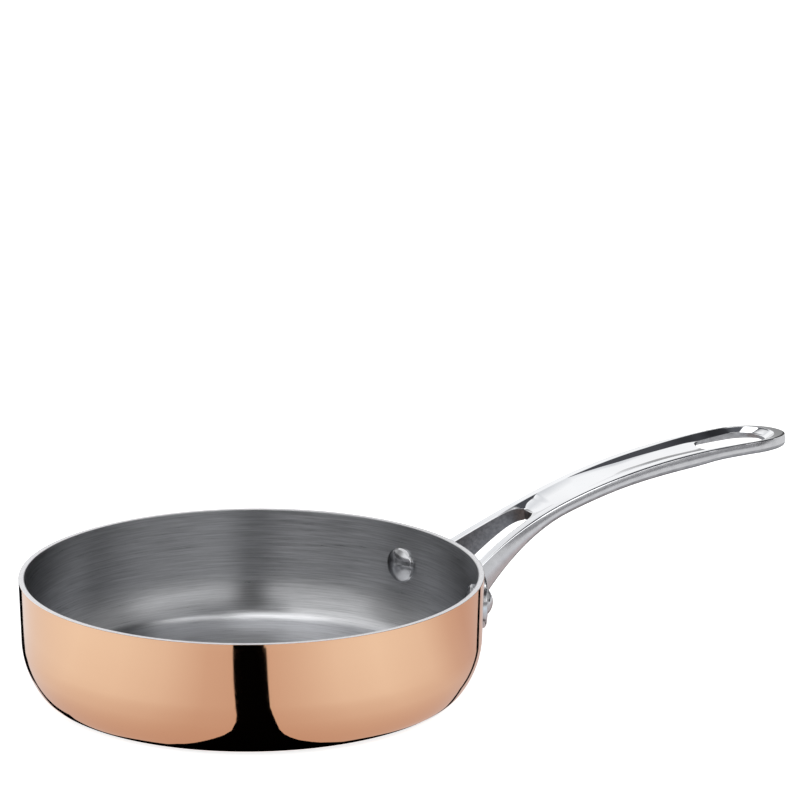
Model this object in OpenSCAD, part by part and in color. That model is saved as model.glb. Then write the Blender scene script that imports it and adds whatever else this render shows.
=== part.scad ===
// Small three-ply frying pan with a copper outside and a forked cast handle.
// All lengths are in millimetres and +Z is up.
// The origin is the centre of the flat base, and the handle points along +X.

/* [Bowl] */
// Outside diameter at the rim
rim_d = 160; // [150:1:240]
// Height from the base to the rim
bowl_h = 41; // [38:1:60]
// Radius of the long curve where the wall starts to turn in
lower_wall_r = 28; // [20:1:34]
// Radius of the tight curve at the edge of the base
foot_r = 9; // [6:0.5:14]
// Lean of the straight wall from the vertical, in degrees
wall_lean = 1.7; // [0:0.1:5]
// Slope at which the long curve hands over to the tight one, in degrees from the vertical
turn_angle = 35; // [25:1:50]

/* [Plies] */
// Thickness of the copper outside
copper_t = 0.4; // [0.3:0.05:1]
// Thickness of the aluminium in the middle
core_t = 1.3; // [0.8:0.1:3]
// Thickness of the steel inside
lining_t = 0.4; // [0.3:0.05:1]
// Width of the small bevel on both edges of the cut rim
rim_break = 0.15; // [0.05:0.05:0.25]

/* [Handle] */
// Reach of the handle beyond the rim
handle_reach = 137.5; // [125:0.5:180]
// Height of the handle's highest point above the rim
handle_rise = 22.7; // [12:0.1:40]
// Depth below the rim at which the tops of the legs meet the wall
root_drop = 8.3; // [6:0.1:11]
// Drop of the tip from the highest point
nose_drop = 0.6; // [0:0.1:3]
// Distance of the highest point from the tip
peak_back = 15.5; // [8:0.5:24]
// Width across the outsides of the legs where they meet the wall
root_w = 32.4; // [28:0.1:38]
// Width at the waist, just past the fork
waist_w = 20.6; // [18:0.1:24]
// Width across the loop at the end
loop_w = 23.2; // [21:0.1:30]
// Height of the legs where they meet the wall
root_h = 16.6; // [10:0.1:18]
// Height of the rails along the grip
grip_h = 4.1; // [3.4:0.1:6]
// Extra height under the heel of the hand
grip_swell = 0.6; // [0:0.1:1.5]
// Width of the flat strip on top of each rail
strip_w = 3.3; // [2.4:0.1:3.8]
// Width of that strip beside the hanging hole
loop_strip_w = 1.3; // [0.8:0.1:2]
// Length of the flat face past the hanging hole's dished wall
nose_strip_w = 5; // [3:0.1:6]
// How far the rails' sides bulge past the strips
side_bulge = 0.45; // [0.2:0.05:0.8]
// How far the rails' sides curve in under the bulge
side_tuck = 2; // [1:0.1:2.4]

/* [Fork, groove and hanging hole] */
// Distance of the fork's crotch from the rim
crotch_at = 31.5; // [27:0.5:40]
// Depth of the groove at the crotch
groove_fork_d = 2; // [1.4:0.1:2.4]
// Depth of the groove at its shallowest
groove_mid_d = 0.8; // [0.5:0.1:1.4]
// Depth of the groove at the hanging hole
groove_hole_d = 1.8; // [1.2:0.1:2.2]
// How much deeper the groove is along its middle
groove_dish = 0.35; // [0.1:0.05:0.6]
// How far the web's underside lies above the rails' undersides
web_recess = 0.6; // [0.3:0.1:0.9]
// Width of the hanging hole's narrow end
hole_small_w = 12.4; // [10:0.1:13]
// Width of the hanging hole's wide end
hole_big_w = 17.4; // [15:0.1:18]
// Length of the hanging hole
hole_l = 27.5; // [24:0.5:32]
// Distance of the hole's wide end from the handle's tip
hole_back = 9; // [7:0.5:12]

/* [Flange and rivets] */
// Thickness of the flange against the wall
flange_t = 2; // [1.6:0.1:3]
// Width of the round ear about each rivet
ear_d = 18.7; // [16:0.1:22]
// Width of the flange between the ears
band_w = 15; // [10:0.5:16]
// Bevel round the flange's ears
ear_bevel = 0.5; // [0.2:0.1:0.8]
// Distance between the rivets, straight across
rivet_pitch = 52; // [48:0.5:60]
// Depth of the rivets below the rim
rivet_drop = 14.5; // [13:0.1:16]
// Diameter of the rivets' shanks
shank_d = 5; // [4:0.1:6]
// Diameter of the heads inside the bowl
inner_head_d = 12.5; // [10:0.1:14]
// Height of the heads inside the bowl
inner_head_h = 2.6; // [1.8:0.1:3.6]
// Height of the inner heads' upright edges
inner_head_edge = 0.9; // [0.5:0.1:1.4]
// Diameter of the heads outside
outer_head_d = 9.7; // [8:0.1:11]
// Height of the heads outside
outer_head_h = 2.9; // [2:0.1:3.6]
// Height of the outer heads' upright edges
outer_head_edge = 0.6; // [0.3:0.1:1]

/* [Clearances] */
// Gap between pieces that seat on each other's curved faces
seat_gap = 0.03; // [0.02:0.01:0.1]
// Gap all round a rivet's shank
shank_gap = 0.1; // [0.05:0.01:0.2]

/* [Hidden] */
$fn = 144;
// How far cutting shapes run past what they cut
overrun = 1;

// The bowl's outline, worked out from its rim down
rim_r = rim_d / 2;
wall_t = copper_t + core_t + lining_t;
lower_wall_h = lower_wall_r * (sin(turn_angle) - sin(wall_lean));
foot_h = foot_r * (1 - sin(turn_angle));
straight_h = bowl_h - lower_wall_h - foot_h;
// Centres of the two curves
lower_c = [rim_r - straight_h * tan(wall_lean) - lower_wall_r * cos(wall_lean),
    bowl_h - straight_h + lower_wall_r * sin(wall_lean)];
foot_c = lower_c + (lower_wall_r - foot_r) * [cos(turn_angle), -sin(turn_angle)];

// Places along the handle, measured from the bowl's axis
tip_x = rim_r + handle_reach;
root_x = sqrt(rim_r * rim_r - root_w * root_w / 4);
// The legs start inside the wall, which then trims them
start_x = root_x - wall_t - flange_t;
crotch_x = rim_r + crotch_at;
peak_x = tip_x - peak_back;
hole_big_r = hole_big_w / 2;
hole_small_r = hole_small_w / 2;
hole_big_x = tip_x - hole_back - hole_big_r;
hole_small_x = hole_big_x + hole_big_r - hole_l + hole_small_r;
// Lean of the straight sides that join the hole's two round ends
hole_lean = asin((hole_big_r - hole_small_r) / (hole_big_x - hole_small_x));
hole_in_x = hole_small_x - hole_small_r * sin(hole_lean);
end_x = hole_big_x - hole_big_r * sin(hole_lean);
floor_r = hole_small_r * cos(hole_lean);
// Lengths over which the fork, the strips, the groove and the swell change, as shares of the
// distance from the crotch to the hole
grip_l = hole_in_x - crotch_x;
waist_share = 0.11;
fork_fade_share = 0.12;
groove_mid_share = 0.3;
strip_taper_share = 0.65;
swell_share = 0.82;
swell_start_share = 0.35;
waist_x = crotch_x + waist_share * grip_l;
groove_mid_x = crotch_x + groove_mid_share * grip_l;
strip_taper_x = crotch_x + strip_taper_share * grip_l;
swell_x = crotch_x + swell_share * grip_l;
swell_start_x = crotch_x + swell_start_share * grip_l;
fork_fade = fork_fade_share * grip_l;
// Powers that shape the flare and the deepening of the legs
flare_power = 2.2;
deepen_power = 1.75;
// Share of the top line's climb that is a square, the rest being a cube
climb_square_share = 0.6;
// How far the web runs into the rails on each side
web_lap = 0.6;
// Half of the web's width, which is also the radius of the crotch
web_r = inner_w(crotch_x) + web_lap;
// How much deeper the rails' walls reach than the groove's floor
wall_lap = 0.15;
// Round on the web's two ends
web_round = 0.6;
// Bevel between the strips and the rails' sides
strip_edge = 0.3;
// Turn of the rails' sides between the strip and the widest place, in degrees
bulge_turn = 60;

// Turn between neighbouring points on the bowl's curves, in degrees
arc_step = 3;
// Numbers of steps along and across the handle
leg_steps = 14;
grip_steps = 34;
nose_steps = 12;
side_steps = 7;
web_rows = 26;
web_columns = 14;

// Rivets
rivet_angle = asin(rivet_pitch / rim_d);
rivet_z = bowl_h - rivet_drop;
rivet_wall_r = rim_r - rivet_drop * tan(wall_lean);

function mix(a, b, t) = a + (b - a) * t;
function ease(t) = let (c = min(max(t, 0), 1)) c * c * (3 - 2 * c);

// Points along a curve, from one slope below the level to another
function arc(centre, r, from, to) = let (steps = ceil(abs(to - from) / arc_step))
    [for (i = [0:steps]) let (a = mix(from, to, i / steps)) centre + r * [cos(a), -sin(a)]];

// Half of the bowl's filled outline up to some height, taken in by some depth from the outside
module bowl_outline(inset, top) {
    foot = arc(foot_c, foot_r - inset, 90, turn_angle);
    wall = arc(lower_c, lower_wall_r - inset, turn_angle, wall_lean);
    wall_low = wall[len(wall) - 1];
    wall_high = wall_low + (top - wall_low[1]) * [tan(wall_lean), 1];
    polygon(concat([[0, top], [0, inset]], foot, [for (i = [1:len(wall) - 1]) wall[i]], [wall_high]));
}

// The corner that a bevel takes off a rim edge of this radius
module rim_corner(r) {
    polygon([[r - rim_break, bowl_h], [r, bowl_h + rim_break], [r + rim_break, bowl_h], [r, bowl_h - rim_break]]);
}

// One ply, from one depth in the wall to another, with a hole for each rivet
module ply(from, to) {
    difference() {
        rotate_extrude() difference() {
            bowl_outline(from, bowl_h);
            bowl_outline(to, bowl_h + overrun);
            rim_corner(rim_r);
            rim_corner(rim_r - wall_t / cos(wall_lean));
        }
        rivet_bores();
    }
}

module rivet_bores() {
    for (side = [-1, 1])
        on_rivet(side) translate([0, 0, -ear_d]) cylinder(h = 2 * ear_d, d = shank_d + 2 * shank_gap);
}

// Puts its children on the bowl's outside at a rivet, with their +Z pointing out of the wall
module on_rivet(side) {
    rotate([0, 0, side * rivet_angle])
        translate([rivet_wall_r, 0, rivet_z])
            rotate([0, 90 + wall_lean, 0])
                children();
}

module copper_shell() {
    color("#e6b294") ply(0, copper_t);
}

module aluminium_core() {
    color("#b8bbbe") ply(copper_t, copper_t + core_t);
}

module steel_lining() {
    color("#8f9296") ply(copper_t + core_t, wall_t);
}

// Height of the handle's top line at a distance x from the bowl's axis
function top_z(x) = bowl_h + handle_rise - (x > peak_x
    ? nose_drop * pow((x - peak_x) / (tip_x - peak_x), 2)
    : let (f = (peak_x - x) / (peak_x - root_x))
        (handle_rise + root_drop) * (climb_square_share * f * f + (1 - climb_square_share) * f * f * f));

// Half of the handle's width over the strips' outer edges
function half_w(x) = x < waist_x
    ? waist_w / 2 + (root_w - waist_w) / 2 * pow((waist_x - x) / (waist_x - root_x), flare_power)
    : mix(waist_w, loop_w, min(1, (x - waist_x) / (end_x - waist_x))) / 2;

// Half of the handle's width over the strips' inner edges
function inner_w(x) = half_w(x)
    - mix(strip_w, loop_strip_w, ease((x - strip_taper_x) / (end_x - strip_taper_x)));

// Height of the rails, from the top line to the underside
function rail_h(x) = grip_h
    + (root_h - grip_h) * pow(max(0, (waist_x - x) / (waist_x - root_x)), deepen_power)
    + grip_swell * ease((x - swell_start_x) / (swell_x - swell_start_x))
        * (1 - ease((x - swell_x) / (hole_in_x - swell_x)));

// Depth of the groove's edge below the top line
function groove_d(x) = groove_mid_d
    + (groove_fork_d - groove_mid_d) * (1 - ease((x - crotch_x) / fork_fade))
    + (groove_hole_d - groove_mid_d) * ease((x - groove_mid_x) / (hole_in_x - groove_mid_x));

// Half of the width between the rails' upright inner walls
function wall_y(x) = x > hole_in_x
    ? floor_r + (x - hole_in_x) * tan(hole_lean)
    : mix(inner_w(x), floor_r, ease((x - crotch_x) / fork_fade + 1));

// One rail's section: the strip from its inner to its outer edge, the bulging side down to the
// underside, and the inner wall back up. Each place is [x, y] in plan.
function rail_section(inner, outer, wall, h, groove) = let (
    across = (outer - inner) / norm(outer - inner),
    side = [for (j = [0:side_steps]) let (a = mix(-bulge_turn, 90, j / side_steps))
        [a < 0 ? side_bulge * (cos(a) - cos(bulge_turn)) / (1 - cos(bulge_turn))
                : side_bulge - side_tuck * (1 - cos(a)),
            mix(strip_edge, h, (sin(a) + sin(bulge_turn)) / (1 + sin(bulge_turn)))]])
    concat(
        [lower(inner, 0), lower(outer - strip_edge * across, 0)],
        [for (p = side) lower(outer + p[0] * across, p[1])],
        [lower(wall, h), lower(wall, groove + wall_lap)]);

// A place in plan, set below the top line
function lower(p, depth) = [p[0], p[1], top_z(p[0]) - depth];

// The section of the straight part of a rail at x
function straight_section(x) = rail_section([x, inner_w(x)], [x, half_w(x)],
    [x, wall_y(x)], rail_h(x), groove_d(x));

// The section round the loop's end, where a goes from 0 beside the hole to 90 at the tip
function nose_section(a) = let (b = (90 + hole_lean) * (1 - a / 90))
    rail_section(
        [end_x + (tip_x - nose_strip_w - end_x) * sin(a), inner_w(end_x) * cos(a)],
        [end_x + (tip_x - side_bulge - end_x) * sin(a), half_w(end_x) * cos(a)],
        [hole_big_x + hole_big_r * cos(b), hole_big_r * sin(b)],
        grip_h, groove_hole_d);

function mirrored(section) = [for (p = section) [p[0], -p[1], p[2]]];

// The two legs, rails and the loop that joins them, as one tube along a U
module rails() {
    left = concat(
        [for (i = [0:leg_steps - 1]) straight_section(mix(start_x, crotch_x, i / leg_steps))],
        [for (i = [0:grip_steps - 1]) straight_section(mix(crotch_x, end_x, i / grip_steps))],
        [for (i = [0:nose_steps]) nose_section(90 * i / nose_steps)]);
    last = len(left) - 1;
    lofted(concat(left, [for (i = [last - 1:-1:0]) mirrored(left[i])]));
}

// A solid through a row of sections that have the same even number of points. Each end is closed
// by strips between the section's two halves.
module lofted(sections) {
    n = len(sections[0]);
    last = (len(sections) - 1) * n;
    side = [for (s = [0:n:last - n], k = [0:n - 1]) [s + k, s + (k + 1) % n]];
    faces = concat(
        [for (e = side) [e[0], e[1], e[1] + n]],
        [for (e = side) [e[0], e[1] + n, e[0] + n]],
        [for (k = [0:n / 2 - 2]) each [[k, n - 1 - k, k + 1], [k + 1, n - 1 - k, n - 2 - k]]],
        [for (k = [0:n / 2 - 2]) each
            [[last + k, last + k + 1, last + n - 1 - k], [last + k + 1, last + n - 2 - k, last + n - 1 - k]]]);
    polyhedron([for (s = sections) each s], faces);
}

// The web between the rails: its top is the groove's floor, one end is the fork's crotch and the
// other the narrow end of the hanging hole
module web() {
    ys = concat([-web_r], [for (j = [0:web_columns]) -floor_r * cos(180 * j / web_columns)], [web_r]);
    lofted([for (i = [0:web_rows]) web_section(i, ys)]);
}

// One row of the web across the handle, along the floor and back along the underside
function web_section(i, ys) = concat(
    [for (y = ys) let (x = web_x(i, y)) [x, y, top_z(x) - floor_d(x, y) - end_round(i)]],
    [for (k = [len(ys) - 1:-1:0]) let (x = web_x(i, ys[k]))
        [x, ys[k], top_z(x) - rail_h(x) + web_recess]]);

// Distance from the bowl's axis of row i, which bends from the crotch's curve to the hole's. The
// end rows stand past the floor by the width of the rounds.
function web_x(i, y) = let (
    front = crotch_x - web_r + sqrt(max(0, web_r * web_r - y * y)),
    back = hole_small_x - sqrt(hole_small_r * hole_small_r - pow(min(abs(y), floor_r), 2)))
    i == 0 ? front
    : i == web_rows ? back
    : mix(front + web_round, back - web_round, (i - 1) / (web_rows - 2));

// Extra depth of the floor at the web's two ends
function end_round(i) = i == 0 || i == web_rows ? web_round : 0;

// Depth of the groove's floor
function floor_d(x, y) = groove_d(x) + groove_dish * max(0, 1 - pow(y / floor_r, 2));

// The solid that lies within some distance of the bowl's outside, run past the rim
module wall_envelope(out) {
    rotate_extrude() bowl_outline(-out, bowl_h + handle_rise);
}

// The flange against the wall: a band that joins a round ear about each rivet
module flange() {
    intersection() {
        wall_envelope(flange_t);
        union() {
            for (side = [-1, 1])
                on_rivet(side) ear();
            translate([0, -rivet_pitch / 2, rivet_z - band_w / 2])
                cube([rim_r + ear_d, rivet_pitch, band_w]);
        }
    }
}

// A round ear, bevelled where it meets the flange's outer face
module ear() {
    r = ear_d / 2;
    rotate_extrude() polygon([[0, -r], [r, -r], [r, flange_t - ear_bevel],
        [r - 2 * ear_bevel, flange_t + ear_bevel], [0, flange_t + ear_bevel]]);
}

// The handle is one casting: legs, rails and loop, the web between them, and the flange
module handle() {
    color("#c9ccd0") difference() {
        union() {
            rails();
            web();
            flange();
        }
        wall_envelope(seat_gap);
        rivet_bores();
    }
}

// A dome on an upright edge, standing on z = 0 and reaching below it by some depth
module rivet_head(d, h, edge, below) {
    dome_h = h - edge;
    dome_r = (d * d / 4 + dome_h * dome_h) / (2 * dome_h);
    intersection() {
        translate([0, 0, h - dome_r]) sphere(dome_r);
        translate([0, 0, -below]) cylinder(h = below + h, d = d);
    }
}

// A rivet through the wall and the flange. Each head is trimmed to the curved face that it seats on.
module rivet(side) {
    inside = wall_t + seat_gap;
    outside = flange_t + seat_gap;
    color("#aeb1b4") {
        on_rivet(side) translate([0, 0, -inside - inner_head_edge])
            cylinder(h = inner_head_edge + inside + outside + outer_head_edge, d = shank_d);
        difference() {
            on_rivet(side) translate([0, 0, outside])
                rivet_head(outer_head_d, outer_head_h, outer_head_edge, flange_t / 2);
            wall_envelope(outside);
        }
        intersection() {
            on_rivet(side) translate([0, 0, -inside]) mirror([0, 0, 1])
                rivet_head(inner_head_d, inner_head_h, inner_head_edge, wall_t / 2);
            rotate_extrude() bowl_outline(inside, bowl_h);
        }
    }
}

module rivet_left() {
    rivet(1);
}

module rivet_right() {
    rivet(-1);
}

copper_shell();
aluminium_core();
steel_lining();
handle();
rivet_left();
rivet_right();
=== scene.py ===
import math

import bmesh
import bpy
import numpy as np
from mathutils import Matrix, Vector


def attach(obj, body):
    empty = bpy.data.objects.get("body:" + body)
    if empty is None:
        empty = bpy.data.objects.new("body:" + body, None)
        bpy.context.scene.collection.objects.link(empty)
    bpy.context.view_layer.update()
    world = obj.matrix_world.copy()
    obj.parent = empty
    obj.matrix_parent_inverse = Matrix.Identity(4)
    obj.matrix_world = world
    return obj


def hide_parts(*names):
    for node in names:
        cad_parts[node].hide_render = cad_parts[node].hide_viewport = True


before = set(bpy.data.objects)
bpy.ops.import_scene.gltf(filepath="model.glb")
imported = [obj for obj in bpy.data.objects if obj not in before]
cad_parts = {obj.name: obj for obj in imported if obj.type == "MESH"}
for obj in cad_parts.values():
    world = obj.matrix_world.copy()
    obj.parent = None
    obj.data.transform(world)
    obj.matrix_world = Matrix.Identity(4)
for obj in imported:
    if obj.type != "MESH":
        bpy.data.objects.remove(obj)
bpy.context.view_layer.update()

MM = 0.001

# Bowl
RIM_R, BOWL_H = 79.99, 41.0
WALL_ARC_R, FOOT_R = 28.0, 9.0
LEAN, TURN = math.radians(1.7), math.radians(35)
COPPER_T, CORE_T, LINING_T = 0.4, 1.3, 0.4
WALL_T = COPPER_T + CORE_T + LINING_T
RIM_BREAK, LIP_BREAK = 0.15, 0.28
BREAK_SHARE = 0.3
ROUND_STEPS, FOOT_STEPS, WALL_STEPS = 288, 26, 30

STRAIGHT_H = (BOWL_H - WALL_ARC_R * (math.sin(TURN) - math.sin(LEAN))
              - FOOT_R * (1 - math.sin(TURN)))
WALL_ARC_C = (RIM_R - STRAIGHT_H * math.tan(LEAN) - WALL_ARC_R * math.cos(LEAN),
              BOWL_H - STRAIGHT_H + WALL_ARC_R * math.sin(LEAN))
FOOT_C = (WALL_ARC_C[0] + (WALL_ARC_R - FOOT_R) * math.cos(TURN),
          WALL_ARC_C[1] - (WALL_ARC_R - FOOT_R) * math.sin(TURN))

# Handle
TIP_X = RIM_R + 137.5
RISE, ROOT_DROP, NOSE_DROP, PEAK_BACK = 22.7, 8.3, 0.6, 15.5
SWEEP_SQUARE, SWEEP_CUBE = 0.6, 0.4
FLARE_POWER, DEEP_POWER = 2.2, 1.75
ROOT_W, WAIST_W, LOOP_W = 32.4, 20.6, 23.2
ROOT_H, GRIP_H, GRIP_SWELL = 16.6, 4.6, 0.6
STRIP_W, LOOP_STRIP_W, NOSE_STRIP_W = 3.3, 1.0, 5.0
# The strip's broken outer edge as (distance in, drop), and the side's tilt in degrees by its
# share of height
STRIP_EDGE = [(0.9, 0.0), (0.72, 0.025), (0.45, 0.105), (0.15, 0.2), (0.03, 0.27)]
EDGE_DROP = 0.36
SIDE_TILT = [(0.0, 15), (0.26, 11), (0.4, 3), (0.6, -6), (0.75, -18), (0.88, -40), (1.0, -74)]
SIDE_H_MAX = 6.0
NOSE_OUT = 0.38
ROOT_X = math.sqrt(RIM_R ** 2 - ROOT_W ** 2 / 4)
CROTCH_X = RIM_R + 31.5
PEAK_X = TIP_X - PEAK_BACK
HOLE_SMALL_R, HOLE_BIG_R, HOLE_L, HOLE_BACK = 6.2, 8.7, 27.5, 9.0
HOLE_BIG_X = TIP_X - HOLE_BACK - HOLE_BIG_R
HOLE_SMALL_X = HOLE_BIG_X + HOLE_BIG_R - HOLE_L + HOLE_SMALL_R
HOLE_LEAN = math.asin((HOLE_BIG_R - HOLE_SMALL_R) / (HOLE_BIG_X - HOLE_SMALL_X))
HOLE_IN_X = HOLE_SMALL_X - HOLE_SMALL_R * math.sin(HOLE_LEAN)
END_X = HOLE_BIG_X - HOLE_BIG_R * math.sin(HOLE_LEAN)
FLOOR_R = HOLE_SMALL_R * math.cos(HOLE_LEAN)
GRIP_L = HOLE_IN_X - CROTCH_X
WAIST_X = CROTCH_X + 0.11 * GRIP_L
TAPER_X = CROTCH_X + 0.65 * GRIP_L
SWELL_X, SWELL_START_X = CROTCH_X + 0.82 * GRIP_L, CROTCH_X + 0.35 * GRIP_L
WEB_RECESS, LOOP_LIFT, LIFT_X, LIFT_L = 0.6, 1.5, 165, 20
UNDER_LIP = 0.15

# Flange and rivets
FLANGE_T, EAR_R, BAND_H, EAR_ROUND = 2.0, 9.35, 15.0, 0.7
FLANGE_SUNK, FLANGE_COLS, FLANGE_ROWS, BAND_BLEND = 0.6, 90, 10, 0.8
EAR_TURNS = (22.5, 45, 67.5, 90)
RIVET_PITCH, RIVET_DROP, SHANK_R = 52.0, 14.5, 2.5
RIVET_ANGLE = math.asin(RIVET_PITCH / (2 * RIM_R))
RIVET_Z = BOWL_H - RIVET_DROP
RIVET_WALL_R = RIM_R - RIVET_DROP * math.tan(LEAN)
SEAT_GAP = 0.03
# A rivet's head as (diameter, height, height of its edge, rounding of its edge)
OUTER_HEAD, INNER_HEAD = (9.7, 2.9, 0.6, 0.35), (12.5, 2.6, 0.9, 0.4)
OUTER_SUNK, INNER_SUNK, DOME_STEPS, RIVET_STEPS = 0.25, 0.3, 24, 72

SHARP = 32.0


def mix(a, b, t):
    return a + (b - a) * t


def ease(t):
    c = min(max(t, 0.0), 1.0)
    return c * c * (3 - 2 * c)


# Mesh helpers

def make_piece(name, points, faces, materials, indices=None, weighted=True):
    """A mesh object in metres from points in millimetres, smooth shaded with its sharp edges kept."""
    mesh = bpy.data.meshes.new(name)
    mesh.from_pydata([tuple(c * MM for c in p) for p in points], [], faces)
    for m in materials:
        mesh.materials.append(m)
    if indices is not None:
        mesh.polygons.foreach_set("material_index", indices)
    mesh.update()
    obj = bpy.data.objects.new(name, mesh)
    bpy.context.scene.collection.objects.link(obj)
    finish_shading(obj, weighted)
    return obj


def finish_shading(obj, weighted=True):
    """Faces out, smooth faces, and an edge sharp where its faces turn by SHARP degrees or more."""
    bm = bmesh.new()
    bm.from_mesh(obj.data)
    bmesh.ops.recalc_face_normals(bm, faces=bm.faces)
    limit = math.radians(SHARP)
    for f in bm.faces:
        f.smooth = True
    for e in bm.edges:
        e.smooth = len(e.link_faces) == 2 and e.calc_face_angle(0) < limit
    bm.to_mesh(obj.data)
    bm.free()
    if weighted:
        mod = obj.modifiers.new("even shading", "WEIGHTED_NORMAL")
        mod.keep_sharp = True


def revolve(outline, steps=ROUND_STEPS):
    """Points and faces of a closed outline of (radius, height) turned round the axis."""
    points, rings = [], []
    for r, z in outline:
        if r < 1e-6:
            rings.append([len(points)] * steps)
            points.append((0.0, 0.0, z))
        else:
            rings.append(list(range(len(points), len(points) + steps)))
            turns = [2 * math.pi * k / steps for k in range(steps)]
            points.extend((r * math.cos(a), r * math.sin(a), z) for a in turns)
    faces = []
    count = len(rings)
    for i in range(count):
        a, b = rings[i], rings[(i + 1) % count]
        if a[0] == a[1] and b[0] == b[1]:
            continue
        for k in range(steps):
            n = (k + 1) % steps
            ids = [a[k], a[n], b[n], b[k]]
            faces.append(tuple(dict.fromkeys(ids)))
    return points, faces


# Bowl shapes

def arc(centre, r, start, end, steps):
    return [(centre[0] + r * math.cos(mix(start, end, i / steps)),
             centre[1] - r * math.sin(mix(start, end, i / steps))) for i in range(steps + 1)]


def bowl_line(inset, top):
    """The bowl's outline from the axis up to some height, taken in by some depth."""
    foot = arc(FOOT_C, FOOT_R - inset, math.pi / 2, TURN, FOOT_STEPS)
    wall = arc(WALL_ARC_C, WALL_ARC_R - inset, TURN, LEAN, WALL_STEPS)
    low = wall[-1]
    flat = [(0.0, inset), (foot[0][0] * 0.5, inset)]
    straight = [(low[0] + (top - low[1]) * t * math.tan(LEAN), mix(low[1], top, t))
                for t in (0.33, 0.66, 1.0)]
    return flat + foot + wall[1:] + straight


def broken_edge(r, size, way):
    """The points of a small bevel at the cut rim, which goes in (-1) or out (1) from a radius."""
    return [(r, BOWL_H - size), (r + way * BREAK_SHARE * size, BOWL_H - BREAK_SHARE * size),
            (r + way * size, BOWL_H)]


def ply_outline(inset, outset, outer_break, inner_break):
    """One ply's closed section, with a small bevel where it has an edge of the cut rim."""
    out, back = bowl_line(inset, BOWL_H), bowl_line(outset, BOWL_H)
    if outer_break:
        out[-1:] = broken_edge(out[-1][0], RIM_BREAK, -1)
    if inner_break:
        back[-1:] = broken_edge(back[-1][0], LIP_BREAK, 1)
    return out + back[::-1]


# Handle shapes

def top_z(x):
    if x > PEAK_X:
        return BOWL_H + RISE - NOSE_DROP * ((x - PEAK_X) / (TIP_X - PEAK_X)) ** 2
    f = (PEAK_X - x) / (PEAK_X - ROOT_X)
    return BOWL_H + RISE - (RISE + ROOT_DROP) * (SWEEP_SQUARE * f * f + SWEEP_CUBE * f ** 3)


def half_w(x):
    if x < WAIST_X:
        flare = ((WAIST_X - x) / (WAIST_X - ROOT_X)) ** FLARE_POWER
        return WAIST_W / 2 + (ROOT_W - WAIST_W) / 2 * flare
    return mix(WAIST_W, LOOP_W, min(1.0, (x - WAIST_X) / (END_X - WAIST_X))) / 2


def inner_w(x):
    return half_w(x) - mix(STRIP_W, LOOP_STRIP_W, ease((x - TAPER_X) / (END_X - TAPER_X)))


def rail_h(x):
    deep = max(0.0, (WAIST_X - x) / (WAIST_X - ROOT_X)) ** DEEP_POWER
    swell = (ease((x - SWELL_START_X) / (SWELL_X - SWELL_START_X))
             * (1 - ease((x - SWELL_X) / (HOLE_IN_X - SWELL_X))))
    return GRIP_H + (ROOT_H - GRIP_H) * deep + GRIP_SWELL * swell


def through(x, knots):
    """A smooth curve through (place, value) knots, without overshoot between them."""
    if x <= knots[0][0]:
        return knots[0][1]
    if x >= knots[-1][0]:
        return knots[-1][1]
    k = max(i for i in range(len(knots) - 1) if knots[i][0] <= x)

    def slope(i):
        if i in (0, len(knots) - 1):
            return 0.0
        (xa, ya), (xb, yb), (xc, yc) = knots[i - 1:i + 2]
        left, right = (yb - ya) / (xb - xa), (yc - yb) / (xc - xb)
        return 0.0 if left * right <= 0 else 2 * left * right / (left + right)

    (x0, y0), (x1, y1) = knots[k], knots[k + 1]
    h = x1 - x0
    t = (x - x0) / h
    return (y0 * (1 + 2 * t) * (1 - t) ** 2 + slope(k) * h * t * (1 - t) ** 2
            + y1 * t * t * (3 - 2 * t) + slope(k + 1) * h * t * t * (t - 1))


# The groove has soft banks at the fork and at the hole, and hardly any between them.
# Each list gives (distance from the bowl's axis, value): a bank's width, its depth, the floor's
# dish and the share of a bank that is rounded at its foot.
WEB_START_X = 110.4
BANK_W = [(80, 0.6), (98, 0.7), (104, 0.9), (106, 1.2), (108, 1.9), (109.6, 3.2), (WEB_START_X, 4.3),
          (112.2, 2.8), (113.3, 2.3), (115.1, 1.9), (116.3, 1.7), (117.3, 0.8), (118.4, 0.5),
          (130, 0.5), (133, 0.7), (136, 1.25), (139, 1.85), (145, 2.65), (150, 3.15), (160, 3.1),
          (170, 3.2), (180, 3.0)]
BANK_D = [(80, 0.15), (98, 0.17), (104, 0.22), (106, 0.29), (108, 0.42), (109.6, 0.62),
          (WEB_START_X, 0.86), (112.2, 0.72), (113.3, 0.6), (115.1, 0.42), (116.3, 0.32), (117.2, 0.1),
          (118, 0.02), (130, 0.02), (133, 0.1), (136, 0.2), (139, 0.33), (145, 0.6), (150, 0.8),
          (160, 1.05), (170, 1.35), (180, 1.62), (186, 1.85)]
DISH = [(WEB_START_X, 0.12), (116, 0.16), (121, 0.2), (132, 0.2), (150, 0.3), (186, 0.3)]
SOFT = [(WEB_START_X, 0.15), (117, 0.5), (121, 0.6), (131, 0.6), (142, 0.4), (165, 0.15)]
BROW, BROW_MAX, NOSE_SOFT, BANK_END_X = 0.35, 0.4, 0.15, 178


def groove_d(x):
    return through(x, BANK_D)


def foot_y(x):
    """Half of the width between the feet of the groove's banks, or between the legs' walls."""
    if x > HOLE_IN_X:
        return FLOOR_R + (x - HOLE_IN_X) * math.tan(HOLE_LEAN)
    return mix(inner_w(x) - through(x, BANK_W), FLOOR_R,
               ease((x - BANK_END_X) / (HOLE_IN_X - BANK_END_X)))


BANK_STEPS, SIDE_STEPS, TILT_STEPS = 12, 14, 8


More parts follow.
